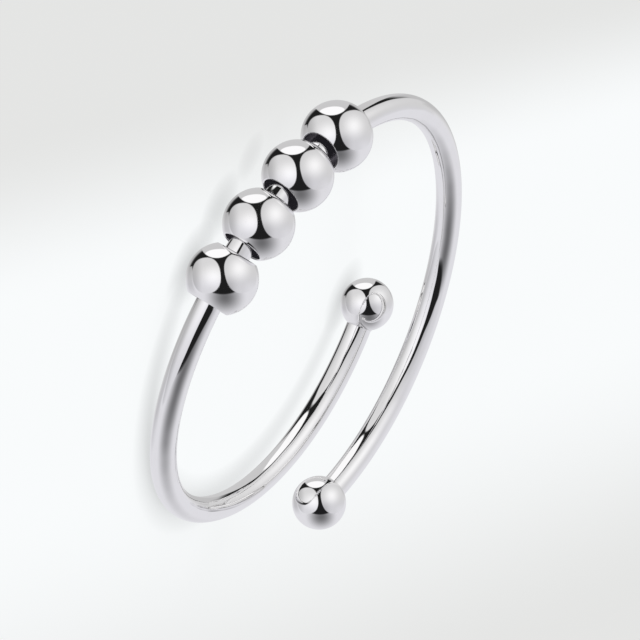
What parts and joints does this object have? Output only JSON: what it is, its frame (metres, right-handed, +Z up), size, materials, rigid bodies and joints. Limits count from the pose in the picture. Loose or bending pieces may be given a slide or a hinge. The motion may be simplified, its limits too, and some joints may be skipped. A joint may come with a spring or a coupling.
{
  "type": "spinner ring with beads",
  "caption": "Open bypass finger ring of polished round wire with a ball on each end and loose beads that spin on its top.",
  "frame": {"origin": "centre of the finger opening, where the axis of the ring's own circle meets its plane", "axes": "+Z up from the table that the ring lies on, on its side; +Y from the finger opening towards the middle of the row of beads"},
  "size_m": [0.02, 0.0209, 0.0049],
  "materials": {
    "wire_silver": "polished sterling silver wire",
    "bead_silver": "mirror polished silver"
  },
  "bodies": {
    "band": {"band": "wire_silver"},
    "bead_1": {"bead_1": "bead_silver"},
    "bead_2": {"bead_2": "bead_silver"},
    "bead_3": {"bead_3": "bead_silver"},
    "bead_4": {"bead_4": "bead_silver"}
  },
  "joints": [
    {"name": "bead_1_spin", "type": "hinge", "parent": "band", "child": "bead_1", "pos_m": [0.00387, 0.00869, 0.00068], "axis": [-0.9364, 0.3294, -0.121], "continuous": true},
    {"name": "bead_2_spin", "type": "hinge", "parent": "band", "child": "bead_2", "pos_m": [0.00131, 0.00928, 0.00035], "axis": [-0.9849, 0.1125, -0.1315], "continuous": true},
    {"name": "bead_3_spin", "type": "hinge", "parent": "band", "child": "bead_3", "pos_m": [-0.00133, 0.00928, -0.00001], "axis": [-0.9846, -0.11, -0.1355], "continuous": true},
    {"name": "bead_4_spin", "type": "hinge", "parent": "band", "child": "bead_4", "pos_m": [-0.00389, 0.0087, -0.00037], "axis": [-0.9356, -0.3271, -0.1328], "continuous": true}
  ]
}
